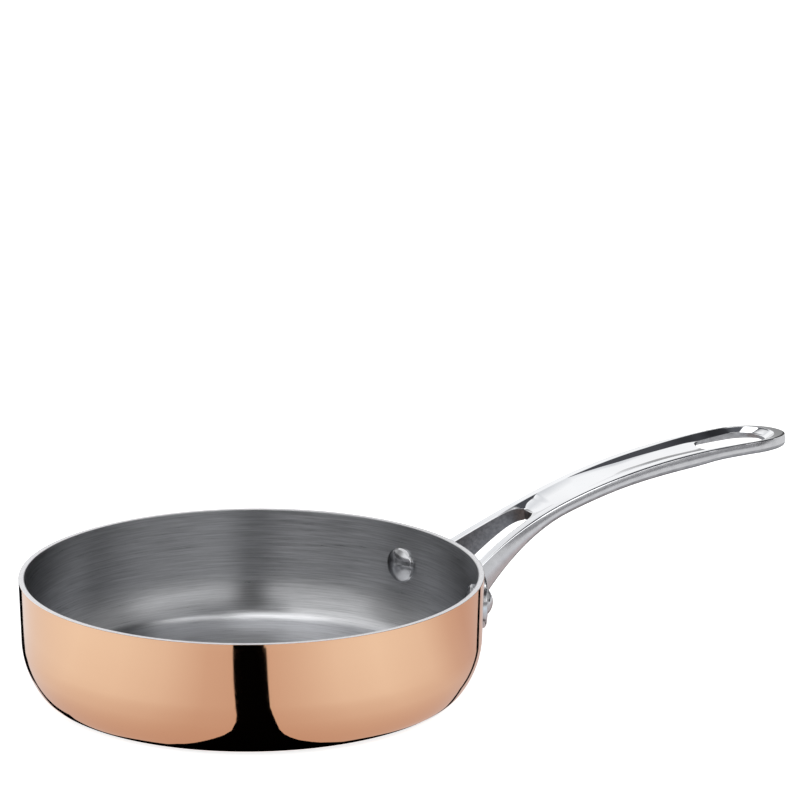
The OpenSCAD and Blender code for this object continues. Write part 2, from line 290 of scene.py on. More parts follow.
def side_line():
    """The side's line as (how far out, how far down), both as shares of its height, from its tilts."""
    line, out, last = [], 0.0, 0.0
    for j in range(SIDE_STEPS + 1):
        share = math.sin(math.pi / 2 * j / SIDE_STEPS)
        for k in range(TILT_STEPS):
            tilt = through(mix(last, share, (k + 0.5) / TILT_STEPS), SIDE_TILT)
            out += math.tan(math.radians(tilt)) * (share - last) / TILT_STEPS
        line.append((out, share))
        last = share
    return line


SIDE_LINE = side_line()


def bank_places(foot, brow):
    """Places across a bank from 0 at its foot to 1 at the strip, closer together in its roundings."""
    flat = [mix(foot, 1 - brow, k / 6) for k in range(7)]
    return [0.0, 0.5 * foot, 0.8 * foot] + flat + [1 - 0.66 * brow, 1 - 0.33 * brow, 1.0]


def bank_share(u, foot, brow):
    """How far up its bank a place is: an even slope between a rounded foot and a rounded brow."""
    if u < foot:
        rise = u * u / (2 * foot)
    elif u > 1 - brow:
        rise = 1 - foot / 2 - brow / 2 - (1 - u) ** 2 / (2 * brow)
    else:
        rise = u - foot / 2
    return rise / (1 - foot / 2 - brow / 2)


def rail_section(inner, outer, wall, h, groove, soft, lift):
    """A rail's section as (x, y, z), from the strip's outer edge over the side and the underside,
    up the inner wall, up the bank and out to the strip's inner edge."""
    inner, outer, wall = (np.array(p, float) for p in (inner, outer, wall))
    across = (outer - inner) / np.linalg.norm(outer - inner)

    def at(p, depth):
        return (p[0], p[1], top_z(p[0]) - depth)

    scale = min(1.0, 0.5 * np.linalg.norm(outer - inner))
    pts = [at(outer - back * scale * across, drop) for back, drop in STRIP_EDGE]
    for out, share in SIDE_LINE:
        pts.append(at(outer + out * min(h, SIDE_H_MAX) * across, mix(EDGE_DROP, h, share)))
    under = pts[-1]
    to_wall = at(wall, h - lift)
    middle = tuple(mix(under[k], to_wall[k], 0.5) for k in range(3))
    pts.append((middle[0], middle[1], middle[2] + 0.2 * lift))
    pts.append(to_wall)
    pts.append(at(wall, h - lift - UNDER_LIP))
    pts.append(at(wall, mix(h - lift, groove, 0.5)))
    brow = min(BROW_MAX, BROW / np.linalg.norm(wall - inner))
    for u in bank_places(soft, brow):
        pts.append(at(mix(wall, inner, u), groove * (1 - bank_share(u, soft, brow))))
    return pts


# Places round a rail's section, by number: where its side, the side's rough tuck and painted shade,
# the underside, the inner wall, the web's underside and the bank begin. SEC_N is their count.
K_SIDE = len(STRIP_EDGE)
SEC_N = K_SIDE + SIDE_STEPS + 1 + 4 + BANK_STEPS + 1
K_TUCK = K_SIDE + 6
K_SHADE = K_SIDE + 8
K_UNDER = K_SIDE + SIDE_STEPS
K_WALL_LOW = K_UNDER + 2
K_RECESS = K_UNDER + 3
K_FOOT = K_UNDER + 5


def straight_section(x):
    return rail_section((x, inner_w(x)), (x, half_w(x)), (x, foot_y(x)), rail_h(x), groove_d(x),
                        through(x, SOFT), under_lift(x))


def under_lift(x):
    """How far the underside rises towards the inner walls."""
    return mix(WEB_RECESS, LOOP_LIFT, ease((x - LIFT_X) / LIFT_L))


def nose_section(a):
    """The rail's section round the loop's end, from beside the hole (0) to the tip (pi / 2)."""
    b = (math.pi / 2 + HOLE_LEAN) * (1 - a / (math.pi / 2))
    return rail_section(
        (END_X + (TIP_X - NOSE_STRIP_W - END_X) * math.sin(a), inner_w(END_X) * math.cos(a)),
        (END_X + (TIP_X - NOSE_OUT - END_X) * math.sin(a), half_w(END_X) * math.cos(a)),
        (HOLE_BIG_X + HOLE_BIG_R * math.cos(b), HOLE_BIG_R * math.sin(b)),
        GRIP_H, groove_d(HOLE_IN_X), NOSE_SOFT, LOOP_LIFT)


# The last kind is painted shade: a darker copy of the cast steel on the fork's inner walls, the web's
# front face, its last row by the hole, and low on the side
POLISHED, SATIN, CAST, EAR, PAINTED_SHADE = 0, 1, 2, 3, 4
LEG_STEPS, WEB_STEPS, LOOP_STEPS, NOSE_STEPS, WEB_COLS = 34, 120, 18, 36, 28
START_X = 74.5
FRONT_SAG, WEB_SPREAD, LIP_FADE = 0.3, 1.3, 8
# Past each of these places the rough tuck and the painted shade begin one step higher up the side
SHADE_STEPS = (88, 97, 104, 110)
LIP_ROUND, BACK_ROUND = 0.6, 0.8
HOLE_END_D, HOLE_END_POWER = 3.6, 2.2


def web_row_x(i):
    """The stations that the rails and the web share, closer together near the fork."""
    return mix(WEB_START_X, HOLE_IN_X, (i / WEB_STEPS) ** WEB_SPREAD)


def handle_mesh():
    """The two rails as one loop of sections, and the web's top, underside and ends between them."""
    xs = [mix(START_X, WEB_START_X, i / LEG_STEPS) for i in range(LEG_STEPS)]
    xs += [web_row_x(i) for i in range(WEB_STEPS)]
    xs += [mix(HOLE_IN_X, END_X, i / LOOP_STEPS) for i in range(LOOP_STEPS)]
    left = [straight_section(x) for x in xs]
    left += [nose_section(math.pi / 2 * i / NOSE_STEPS) for i in range(NOSE_STEPS + 1)]
    count = len(left)
    sections = left + [[(x, -y, z) for x, y, z in s] for s in left[count - 2::-1]]
    total = len(sections)
    points = [p for s in sections for p in s]
    faces, kinds = [], []

    def add(ids, kind):
        ids = tuple(dict.fromkeys(ids))
        if len(ids) > 2:
            faces.append(ids)
            kinds.append(kind)

    # Low on the side, just above the underside, comes painted shade
    def kind_of(k, down):
        if k < K_SIDE or k >= K_FOOT:
            return POLISHED
        if k < K_TUCK + down:
            return SATIN
        return PAINTED_SHADE if K_SHADE + down <= k < K_UNDER else CAST

    first, last = LEG_STEPS, LEG_STEPS + WEB_STEPS
    for s in range(total - 1):
        mirrored = total - 1 - s
        on_web = first <= s < last or first < mirrored <= last
        down = sum(sections[s][0][0] < x for x in SHADE_STEPS)
        for k in range(SEC_N):
            if on_web and K_RECESS <= k < K_FOOT:
                continue
            n = (k + 1) % SEC_N
            a, b = s * SEC_N, (s + 1) * SEC_N
            # The legs' inner walls at the fork get painted shade
            shaded_leg_wall = min(s, total - 2 - s) < LEG_STEPS and K_WALL_LOW <= k < K_FOOT
            add((a + k, a + n, b + n, b + k), PAINTED_SHADE if shaded_leg_wall else kind_of(k, down))
    for base in (0, (total - 1) * SEC_N):
        add([base + k for k in range(SEC_N)], CAST)

    top, low = [], []
    for i in range(WEB_STEPS + 1):
        share = (i / WEB_STEPS) ** WEB_SPREAD
        row_t, row_l = [], []
        for j in range(WEB_COLS + 1):
            v = -math.cos(math.pi * j / WEB_COLS)
            if j in (0, WEB_COLS):
                s = i + LEG_STEPS if j else total - 1 - (i + LEG_STEPS)
                row_t.append(s * SEC_N + K_FOOT)
                row_l.append(s * SEC_N + K_RECESS)
                continue
            front = WEB_START_X + FRONT_SAG * math.sqrt(1 - v * v)
            end = (1 - abs(v) ** HOLE_END_POWER) ** (1 / HOLE_END_POWER)
            back = HOLE_IN_X - HOLE_END_D * end
            x = mix(front, back, share)
            y = v * foot_y(x)
            depth = groove_d(x) + through(x, DISH) * (1 - v * v)
            for near, r in ((x - front, LIP_ROUND), (back - x, BACK_ROUND)):
                if near < r:
                    depth += (r - math.sqrt(r * r - (r - near) ** 2)) * (1 - v ** LIP_FADE)
            row_t.append(len(points))
            points.append((x, y, top_z(x) - depth))
            row_l.append(len(points))
            points.append((x, y, top_z(x) - rail_h(x) + under_lift(x) + UNDER_LIP))
        top.append(row_t)
        low.append(row_l)
    # The web's last row by the hole gets painted shade
    for i in range(WEB_STEPS):
        for j in range(WEB_COLS):
            add((top[i][j], top[i][j + 1], top[i + 1][j + 1], top[i + 1][j]),
                PAINTED_SHADE if i == WEB_STEPS - 1 else POLISHED)
            add((low[i][j], low[i][j + 1], low[i + 1][j + 1], low[i + 1][j]), CAST)
    # The web's front face gets painted shade
    for i in (0, WEB_STEPS):
        for j in range(WEB_COLS):
            add((top[i][j], top[i][j + 1], low[i][j + 1], low[i][j]), CAST if i else PAINTED_SHADE)
    return points, faces, kinds


def flange_mesh():
    """The flange: round ears and the band between them, wrapped on the wall, with a rounded edge."""
    r_mid = RIVET_WALL_R
    s_ear = r_mid * RIVET_ANGLE

    def half_height(s, inset):
        d = abs(s) - s_ear
        r, band = EAR_R - inset, BAND_H / 2 - inset
        ear = math.sqrt(max(0.0, r * r - d * d)) if abs(d) < r else 0.0
        if d > 0:
            return ear
        soft = BAND_BLEND * BAND_BLEND * (1 if abs(d) < r else 0)
        return 0.5 * (ear + band + math.sqrt((ear - band) ** 2 + soft))

    def place(s, dz, out):
        z = RIVET_Z + dz
        r = RIM_R - (BOWL_H - z) * math.tan(LEAN) + out
        a = s / r_mid
        return (r * math.cos(a), r * math.sin(a), z)

    layers = [(-FLANGE_SUNK, 0.0), (FLANGE_T - EAR_ROUND, 0.0)]
    for a in EAR_TURNS:
        t = math.radians(a)
        layers.append((FLANGE_T - EAR_ROUND * (1 - math.sin(t)), EAR_ROUND * (1 - math.cos(t))))
    points, rings = [], []
    for out, inset in layers:
        ring_u, ring_l = [], []
        s_end = s_ear + EAR_R - inset
        for c in range(FLANGE_COLS + 1):
            s = -s_end * math.cos(math.pi * c / FLANGE_COLS)
            h = half_height(s, inset)
            if c in (0, FLANGE_COLS):
                h = 0.0
            ring_u.append(len(points))
            points.append(place(s, h, out))
            if c in (0, FLANGE_COLS):
                ring_l.append(ring_u[-1])
            else:
                ring_l.append(len(points))
                points.append(place(s, -h, out))
        rings.append((ring_u, ring_l))
    faces = []

    def add(*ids):
        ids = tuple(dict.fromkeys(ids))
        if len(ids) > 2:
            faces.append(ids)

    for (au, al), (bu, bl) in zip(rings, rings[1:]):
        for c in range(FLANGE_COLS):
            add(au[c], au[c + 1], bu[c + 1], bu[c])
            add(al[c], al[c + 1], bl[c + 1], bl[c])
    for (u, l), (out, inset) in ((rings[-1], layers[-1]), (rings[0], layers[0])):
        grid = []
        for c in range(FLANGE_COLS + 1):
            if c in (0, FLANGE_COLS):
                grid.append([u[c]] * (FLANGE_ROWS + 1))
                continue
            s = -(s_ear + EAR_R - inset) * math.cos(math.pi * c / FLANGE_COLS)
            h = half_height(s, inset)
            column = [l[c]]
            for k in range(1, FLANGE_ROWS):
                column.append(len(points))
                points.append(place(s, mix(-h, h, k / FLANGE_ROWS), out))
            column.append(u[c])
            grid.append(column)
        for c in range(FLANGE_COLS):
            for k in range(FLANGE_ROWS):
                add(grid[c][k], grid[c][k + 1], grid[c + 1][k + 1], grid[c + 1][k])
    return points, faces


def rivet_outline():
    """Half of a rivet's section on its own axis: the outer head, the shank and the inner head."""
    def dome(d, h, edge, fillet):
        """A domed head's outline from its top to its widest place."""
        dome_h = h - edge
        r = (d * d / 4 + dome_h ** 2) / (2 * dome_h)
        a_max = math.asin(d / 2 / r)
        turns = [a_max * i / DOME_STEPS for i in range(DOME_STEPS + 1)]
        line = [(r * math.sin(a), h - r + r * math.cos(a)) for a in turns]
        keep = [p for p in line if p[0] < d / 2 - fillet]
        zc = edge - fillet * 0.35
        corner = [(d / 2 - fillet * (1 - math.sin(t)), zc - fillet * 0.6 + fillet * 0.75 * math.cos(t))
                  for t in map(math.radians, (30, 50, 70, 90))]
        corner = [c for c in corner if c[1] < keep[-1][1]]
        return keep + corner

    outer = [(r, FLANGE_T + SEAT_GAP + z) for r, z in dome(*OUTER_HEAD)]
    inner = [(r, -(WALL_T + SEAT_GAP + z)) for r, z in dome(*INNER_HEAD)]
    seat_out = FLANGE_T - OUTER_SUNK
    seat_in = -(WALL_T - INNER_SUNK)
    shank = [(outer[-1][0], seat_out), (SHANK_R, seat_out), (SHANK_R, seat_in), (inner[-1][0], seat_in)]
    return outer + shank + inner[::-1]


def rivet_place(side):
    """Where a rivet stands: its axis square to the leaning wall, on the left (1) or right (-1)."""
    return (Matrix.Rotation(side * RIVET_ANGLE, 4, "Z")
            @ Matrix.Translation((RIVET_WALL_R, 0, RIVET_Z))
            @ Matrix.Rotation(math.radians(90) + LEAN, 4, "Y"))


# Materials

def new_metal(name):
    mat = bpy.data.materials.new(name)
    mat.use_nodes = True
    bsdf = mat.node_tree.nodes["Principled BSDF"]
    bsdf.inputs["Metallic"].default_value = 1.0
    return mat, mat.node_tree, bsdf


def maths(tree, operation, a, b=None):
    """A Math node on one or two values, each a number or another node's output."""
    n = tree.nodes.new("ShaderNodeMath")
    n.operation = operation
    for i, v in enumerate((a, b)):
        if v is None:
            continue
        if isinstance(v, (int, float)):
            n.inputs[i].default_value = v
        else:
            tree.links.new(v, n.inputs[i])
    return n.outputs[0]


def ramp(tree, value, stops):
    n = tree.nodes.new("ShaderNodeValToRGB")
    tree.links.new(value, n.inputs[0])
    while len(n.color_ramp.elements) < len(stops):
        n.color_ramp.elements.new(0.5)
    for e, (pos, col) in zip(n.color_ramp.elements, stops):
        e.position = pos
        e.color = (*col, 1)
    return n.outputs[0]


def noise(tree, vector, scale, detail=3.0, rough=0.5):
    n = tree.nodes.new("ShaderNodeTexNoise")
    n.inputs["Scale"].default_value = scale
    n.inputs["Detail"].default_value = detail
    n.inputs["Roughness"].default_value = rough
    tree.links.new(vector, n.inputs["Vector"])
    return n.outputs[0]


def remap(tree, value, low, high, start=0.3, end=0.7):
    n = tree.nodes.new("ShaderNodeMapRange")
    tree.links.new(value, n.inputs["Value"])
    n.inputs["From Min"].default_value = start
    n.inputs["From Max"].default_value = end
    n.inputs["To Min"].default_value = low
    n.inputs["To Max"].default_value = high
    return n.outputs[0]


def bump(tree, bsdf, height, strength, distance):
    n = tree.nodes.new("ShaderNodeBump")
    n.inputs["Strength"].default_value = strength
    n.inputs["Distance"].default_value = distance
    tree.links.new(height, n.inputs["Height"])
    tree.links.new(n.outputs[0], bsdf.inputs["Normal"])


def object_place(tree):
    return tree.nodes.new("ShaderNodeTexCoord").outputs["Object"]


def split(tree, vector):
    n = tree.nodes.new("ShaderNodeSeparateXYZ")
    tree.links.new(vector, n.inputs[0])
    return n.outputs


def product(tree, first, *others):
    for other in others:
        first = maths(tree, "MULTIPLY", first, other)
    return first


def rises(tree, value, start, end):
    """0 up to start, 1 from end on."""
    return remap(tree, value, 0.0, 1.0, start, end)


def falls(tree, value, start, end):
    """1 up to start, 0 from end on."""
    return remap(tree, value, 1.0, 0.0, start, end)


def length(tree, x, y):
    return maths(tree, "SQRT", maths(tree, "ADD", product(tree, x, x), product(tree, y, y)))


def scaled(tree, colour, factor):
    n = tree.nodes.new("ShaderNodeVectorMath")
    n.operation = "SCALE"
    tree.links.new(colour, n.inputs[0])
    tree.links.new(factor, n.inputs["Scale"])
    return n.outputs[0]


def turned_streaks(tree, place, along, across):
    """Noise drawn out round the axis, as brushing or polishing on a lathe leaves it."""
    x, y, z = split(tree, place)
    r = length(tree, x, y)
    safe = maths(tree, "MAXIMUM", r, 1e-5)
    comb = tree.nodes.new("ShaderNodeCombineXYZ")
    for k, part in enumerate((x, y)):
        tree.links.new(product(tree, maths(tree, "DIVIDE", part, safe), along), comb.inputs[k])
    tree.links.new(product(tree, maths(tree, "ADD", r, z), across), comb.inputs[2])
    return comb.outputs[0]


def copper_material():
    mat, tree, bsdf = new_metal("polished copper")
    place = object_place(tree)
    patches = noise(tree, place, 14, 2, 0.5)
    tints = [(0.3, (0.865, 0.482, 0.283)), (0.7, (0.885, 0.502, 0.298))]
    tree.links.new(ramp(tree, patches, tints), bsdf.inputs["Base Color"])
    fine = noise(tree, turned_streaks(tree, place, 5, 900), 1, 3, 0.6)
    tree.links.new(remap(tree, fine, 0.035, 0.07), bsdf.inputs["Roughness"])
    bump(tree, bsdf, fine, 0.02, 0.0002)
    return mat


def lining_material():
    mat, tree, bsdf = new_metal("brushed steel lining")
    place = object_place(tree)
    fine = noise(tree, turned_streaks(tree, place, 4, 1700), 1, 4, 0.7)
    broad = noise(tree, turned_streaks(tree, place, 3, 700), 1, 4, 0.65)
    both = maths(tree, "ADD", product(tree, fine, 0.75), product(tree, broad, 0.25))
    streaks = ramp(tree, both, [(0.36, (0.39, 0.394, 0.405)), (0.64, (0.585, 0.591, 0.605))])
    # The floor's colour is painted brighter than the wall's, a painted sheen standing in for the
    # overhead light it reflects
    painted_floor_light = remap(tree, split(tree, place)[2], 1.42, 1.0, 0.003, 0.007)
    tree.links.new(scaled(tree, streaks, painted_floor_light), bsdf.inputs["Base Color"])
    tree.links.new(remap(tree, both, 0.26, 0.36), bsdf.inputs["Roughness"])
    bsdf.inputs["Specular Tint"].default_value = (0.95, 0.95, 0.96, 1)
    turned_sheen(tree, bsdf)
    bump(tree, bsdf, fine, 0.12, 0.00008)
    return mat


def turned_sheen(tree, bsdf):
    """Highlights drawn out across the turning marks, as on a face finished on a lathe."""
    bsdf.inputs["Anisotropic"].default_value = 0.8
    bsdf.inputs["Anisotropic Rotation"].default_value = 0.25
    tangent = tree.nodes.new("ShaderNodeTangent")
    tangent.direction_type = "RADIAL"
    tangent.axis = "Z"
    tree.links.new(tangent.outputs[0], bsdf.inputs["Tangent"])


def plain_metal(name, tints, scale, rough, strength, distance, fine_scale, turned=False):
    """A metal with patches of two tints, a range of roughness and a fine bump, in metres."""
    mat, tree, bsdf = new_metal(name)
    place = object_place(tree)
    colours = ramp(tree, noise(tree, place, scale, 3), list(zip((0.3, 0.7), tints)))
    tree.links.new(colours, bsdf.inputs["Base Color"])
    fine = noise(tree, place, fine_scale, 4, 0.6)
    tree.links.new(remap(tree, fine, *rough), bsdf.inputs["Roughness"])
    bump(tree, bsdf, fine, strength, distance)
    if turned:
        turned_sheen(tree, bsdf)
    return mat


copper = copper_material()
lining = lining_material()
core = plain_metal("cut aluminium", ((0.74, 0.74, 0.76), (0.82, 0.82, 0.84)),
                   900, (0.14, 0.22), 0.04, 0.0001, 2600, turned=True)
polished = plain_metal("polished cast steel", ((0.88, 0.89, 0.91), (0.93, 0.94, 0.96)),
                       60, (0.03, 0.06), 0.02, 0.0002, 400)
satin = plain_metal("satin cast steel", ((0.60, 0.605, 0.62), (0.68, 0.685, 0.70)),
                    300, (0.17, 0.25), 0.10, 0.0001, 1800)
cast = plain_metal("rough cast steel", ((0.34, 0.345, 0.36), (0.50, 0.505, 0.52)),
                   500, (0.38, 0.55), 0.5, 0.0002, 1300)
# A darker copy of the rough cast steel, as painted shade in the fork's recesses, on the web's ends and
# low on the sides
shaded_cast_steel = plain_metal("cast steel with painted shade", ((0.20, 0.206, 0.22), (0.31, 0.318, 0.335)),
                        700, (0.35, 0.5), 0.5, 0.0002, 1300)
ear_steel = plain_metal("brushed ear steel", ((0.58, 0.585, 0.60), (0.66, 0.665, 0.68)),
                        300, (0.16, 0.22), 0.06, 0.0001, 1800)
rivet_steel = plain_metal("rivet steel", ((0.56, 0.565, 0.58), (0.66, 0.665, 0.68)),
                          200, (0.08, 0.13), 0.04, 0.0001, 1200)

# In the order of POLISHED, SATIN, CAST, EAR and the painted shade, a darker copy of the cast steel
HANDLE_METALS = [polished, satin, cast, ear_steel, shaded_cast_steel]


# Pieces

def dress(obj, node_name):
    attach(obj, "root")
    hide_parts(node_name)
    return obj


pts, fcs = revolve(ply_outline(0.0, COPPER_T, True, False))
cut = [1 if all(pts[i][2] > BOWL_H - 0.6 * RIM_BREAK for i in f) else 0 for f in fcs]
dress(make_piece("copper_outside", pts, fcs, [copper, core], cut), "copper_shell")
pts, fcs = revolve(ply_outline(COPPER_T, COPPER_T + CORE_T, False, False))
dress(make_piece("core_ply", pts, fcs, [core]), "aluminium_core")
pts, fcs = revolve(ply_outline(COPPER_T + CORE_T, WALL_T, False, True))
dress(make_piece("lining_ply", pts, fcs, [lining]), "steel_lining")


def boolean(obj, cutter, operation):
    mod = obj.modifiers.new("join", "BOOLEAN")
    mod.operation = operation
    mod.solver = "EXACT"
    mod.object = cutter
    dg = bpy.context.evaluated_depsgraph_get()
    mesh = bpy.data.meshes.new_from_object(obj.evaluated_get(dg))
    obj.modifiers.remove(mod)
    obj.data = mesh
    bpy.data.objects.remove(cutter)


pts, fcs, kinds = handle_mesh()
handle = make_piece("cast_handle", pts, fcs, HANDLE_METALS, kinds, weighted=False)
pts, fcs = flange_mesh()
flange = make_piece("flange_tool", pts, fcs, HANDLE_METALS, [EAR] * len(fcs), weighted=False)
boolean(handle, flange, "UNION")
envelope = [(max(0.0, r), z) for r, z in bowl_line(-SEAT_GAP, BOWL_H + RISE)]
pts, fcs = revolve([(0.0, BOWL_H + RISE)] + envelope)
wall_tool = make_piece("wall_tool", pts, fcs, HANDLE_METALS, [CAST] * len(fcs), weighted=False)
boolean(handle, wall_tool, "DIFFERENCE")
finish_shading(handle)
dress(handle, "handle")

for side, name in ((1, "rivet_left"), (-1, "rivet_right")):
    pts, fcs = revolve(rivet_outline(), RIVET_STEPS)
    place = rivet_place(side)
    pts = [tuple(place @ Vector(p)) for p in pts]
    dress(make_piece(name + "_heads", pts, fcs, [rivet_steel]), name)


# Camera at the photograph's angle

CAM_PLACE, CAM_TILT, CAM_TURN = (-0.7597, -1.4579, 0.5439), 74.97, -29.3

cam_data = bpy.data.cameras.new("camera")
cam_data.lens = 225
cam_data.sensor_width = 36
cam_data.clip_end = 50
camera = bpy.data.objects.new("camera", cam_data)
camera.location = CAM_PLACE
camera.rotation_euler = (math.radians(CAM_TILT), 0, math.radians(CAM_TURN))
bpy.context.scene.collection.objects.link(camera)
bpy.context.scene.camera = camera
CAM_AZ = math.atan2(camera.location[1], camera.location[0])


# Directions and colours of the studio

def towards(u, v, z):
    """A place u towards the camera and v to the right of it, seen from above the bowl's axis."""
    c, s = math.cos(CAM_AZ), math.sin(CAM_AZ)
    return (u * c - v * s, u * s + v * c, z)


def camera_parts(tree, x, y):
    """The parts of a direction or place that point towards the camera and to the right of it."""
    c, s = math.cos(CAM_AZ), math.sin(CAM_AZ)
    front = maths(tree, "ADD", product(tree, x, c), product(tree, y, s))
    right = maths(tree, "ADD", product(tree, x, -s), product(tree, y, c))
    return front, right


def grey(value):
    return (value, value, value)


def by_turn(tree, front, right, stops):
    """Values given by the turn in degrees from the camera's direction, to the right."""
    turn = maths(tree, "ARCTAN2", right, front)
    share = maths(tree, "ADD", product(tree, turn, 1 / (2 * math.pi)), 0.5)
    return ramp(tree, share, [(degrees / 360 + 0.5, grey(value)) for degrees, value in stops])


def blend(tree, share, a, b):
    """A colour from a to b by a share. Either is a colour or another node's output."""
    n = tree.nodes.new("ShaderNodeMix")
    n.data_type = "RGBA"
    tree.links.new(share, n.inputs["Factor"])
    for key, colour in (("A", a), ("B", b)):
        if isinstance(colour, tuple):
            n.inputs[key].default_value = (*colour, 1)
        else:
            tree.links.new(colour, n.inputs[key])
    return n.outputs["Result"]


def shader(tree, kind, colour, strength=None):
    """A shader with a colour and perhaps a strength, each a value or another node's output."""
    n = tree.nodes.new(kind)
    for k, value in enumerate((colour, strength)):
        if isinstance(value, tuple):
            n.inputs[k].default_value = (*value, 1)
        elif isinstance(value, float):
            n.inputs[k].default_value = value
        elif value is not None:
            tree.links.new(value, n.inputs[k])
    return n.outputs[0]


def shader_blend(tree, share, first, second):
    n = tree.nodes.new("ShaderNodeMixShader")
    for k, output in enumerate((share, first, second)):
        tree.links.new(output, n.inputs[k])
    return n.outputs[0]


def stage_material(name):
    mat = bpy.data.materials.new(name)
    mat.use_nodes = True
    tree = mat.node_tree
    tree.nodes.clear()
    return mat, tree, tree.nodes.new("ShaderNodeOutputMaterial")


# Floor and cards. Each card is seen by reflections alone.

FLOOR_SIZE, FLOOR_Z, CARD_Z, RING_Z = 6000, -0.2, 0.1, 0.12
FLOOR_COLOUR, FLOOR_GLOW = grey(0.8), 0.84
# What polished metal sees of the floor: dark and bright parts of the two pools, and plain floor
# further out, with the pools' share by turn and by twice the distance in metres
POOL_DARK, POOL_BRIGHT, FAR_FLOOR = (0.60, 0.50, 0.48), (0.98, 1.14, 1.26), (0.86, 0.86, 0.87)
POOL_TURNS = [(-180, 0.6), (-105, 0.78), (-75, 1), (-51, 0.9), (-33, 0.68), (-17, 0.3), (0, 0.2),
              (15, 0.45), (31.5, 0.78), (49, 0.92), (72, 0.72), (88, 0.3), (101, 0.1), (125, 0.1),
              (180, 0.6)]
POOL_REACH = [(0.15, grey(0.15)), (0.18, grey(0.55)), (0.26, grey(0.92)), (0.33, grey(1))]
POOL_FAR_SHARE = 0.7


def stage_mesh(name, corners, faces, material):
    """A stage object from corners (x, y, z) in millimetres."""
    mesh = bpy.data.meshes.new(name)
    mesh.from_pydata([tuple(c * MM for c in p) for p in corners], [], faces)
    mesh.materials.append(material)
    obj = bpy.data.objects.new(name, mesh)
    bpy.context.scene.collection.objects.link(obj)
    return obj


def floor_material():
    mat, tree, out = stage_material("pale floor")
    path = tree.nodes.new("ShaderNodeLightPath")
    glow = product(tree, path.outputs["Is Camera Ray"], FLOOR_GLOW)
    add = tree.nodes.new("ShaderNodeAddShader")
    tree.links.new(shader(tree, "ShaderNodeBsdfDiffuse", FLOOR_COLOUR), add.inputs[0])
    tree.links.new(shader(tree, "ShaderNodeEmission", grey(1.0), glow), add.inputs[1])
    # Two soft pools of light, left and right in front of the bowl
    x, y, _ = split(tree, object_place(tree))
    front, right = camera_parts(tree, x, y)
    around = by_turn(tree, front, right, POOL_TURNS)
    reach = length(tree, x, y)
    near = ramp(tree, product(tree, reach, 2.0), POOL_REACH)
    far = rises(tree, reach, 0.18, 0.26)
    close = product(tree, around, near)
    share = maths(tree, "ADD", product(tree, close, maths(tree, "SUBTRACT", 1.0, far)),
                  product(tree, far, POOL_FAR_SHARE))
    pools = blend(tree, share, POOL_DARK, POOL_BRIGHT)
    seen = blend(tree, rises(tree, reach, 0.205, 0.245), pools, FAR_FLOOR)
    mirrored = shader(tree, "ShaderNodeEmission", seen)
    both = shader_blend(tree, path.outputs["Is Glossy Ray"], add.outputs[0], mirrored)
    tree.links.new(both, out.inputs[0])
    return mat


def card_material():
    mat, tree, out = stage_material("black card")
    tree.links.new(shader(tree, "ShaderNodeBsdfDiffuse", grey(0.001)), out.inputs[0])
    return mat


floor_corners = [(-FLOOR_SIZE, -FLOOR_SIZE, FLOOR_Z), (FLOOR_SIZE, -FLOOR_SIZE, FLOOR_Z),
                 (FLOOR_SIZE, FLOOR_SIZE, FLOOR_Z), (-FLOOR_SIZE, FLOOR_SIZE, FLOOR_Z)]
stage_mesh("floor", floor_corners, [(0, 1, 2, 3)], floor_material())
black = card_material()


def card(name, corners, faces=None):
    """A black card, of one face unless its faces are given."""
    obj = stage_mesh(name, corners, faces or [tuple(range(len(corners)))], black)
    obj.visible_camera = obj.visible_diffuse = obj.visible_shadow = False


def plan_card(name, places):
    """A card on the floor from places (towards the camera, to the right of it)."""
    card(name, [towards(u, v, CARD_Z) for u, v in places])


def floor_wedge(name, rows):
    """A card on the floor between two lines, given as (towards the camera, left, right)."""
    plan_card(name, [(u, a) for u, a, b in rows] + [(u, b) for u, a, b in rows[::-1]])


def floor_ring(name, inner, outer, steps=120):
    """A black ring on the floor under the bowl, painted shadow seen in reflections, its outer radius
    given by the turn from the camera.
    """
    turns = [2 * math.pi * k / steps for k in range(steps)]
    corners = [towards(inner * math.cos(a), inner * math.sin(a), RING_Z) for a in turns]
    for a in turns:
        r = through(abs(math.degrees(math.remainder(a, 2 * math.pi))), outer)
        corners.append(towards(r * math.cos(a), r * math.sin(a), RING_Z))
    faces = [(k, (k + 1) % steps, steps + (k + 1) % steps, steps + k) for k in range(steps)]
    card(name, corners, faces)


floor_wedge("front_card", [(60, -34, 34), (65.8, -29.9, 30.5), (69, -26, 26), (72.5, -20.4, 20.3),
                           (75, -17, 16.5), (77.4, -14, 14), (80, -11.2, 12.2), (84, -8.7, 11),
                           (93, -8, 10.9), (104, -9, 11.3), (128, -13, 13), (151, -18, 14.7),
                           (179, -23, 16.8), (184, -23.6, 16.9), (186, -23.8, 16), (187, -23.9, 14.5)])
floor_wedge("front_card_far", [(187, -23.9, 14.5), (700, -90, 14.5)])
plan_card("back_right_card", [(48, 51), (16.5, 78), (-115, 150), (-250, 222), (-262, 200), (-124, 138),
                              (14, 77), (46, 50)])
plan_card("back_left_card", [(53, -48), (37, -65), (10, -79), (-23, -96), (-61, -107), (-94, -121),
                             (-250, -200), (-262, -140), (-143, -102), (4, -79.5), (30, -66), (48, -47)])
# Painted shadow: a black ring seen only in reflections, standing in for the bowl's shadow on the floor
# under its overhang
floor_ring("base_shadow_card", 60, [(0, 72.8), (30, 72.4), (45, 71.2), (70, 69.4), (180, 69)])


# Lamps, which polished metal doesn't mirror

LIGHT_AIM, LIGHT_POWER = (0.0, 0.0, 0.02), 5


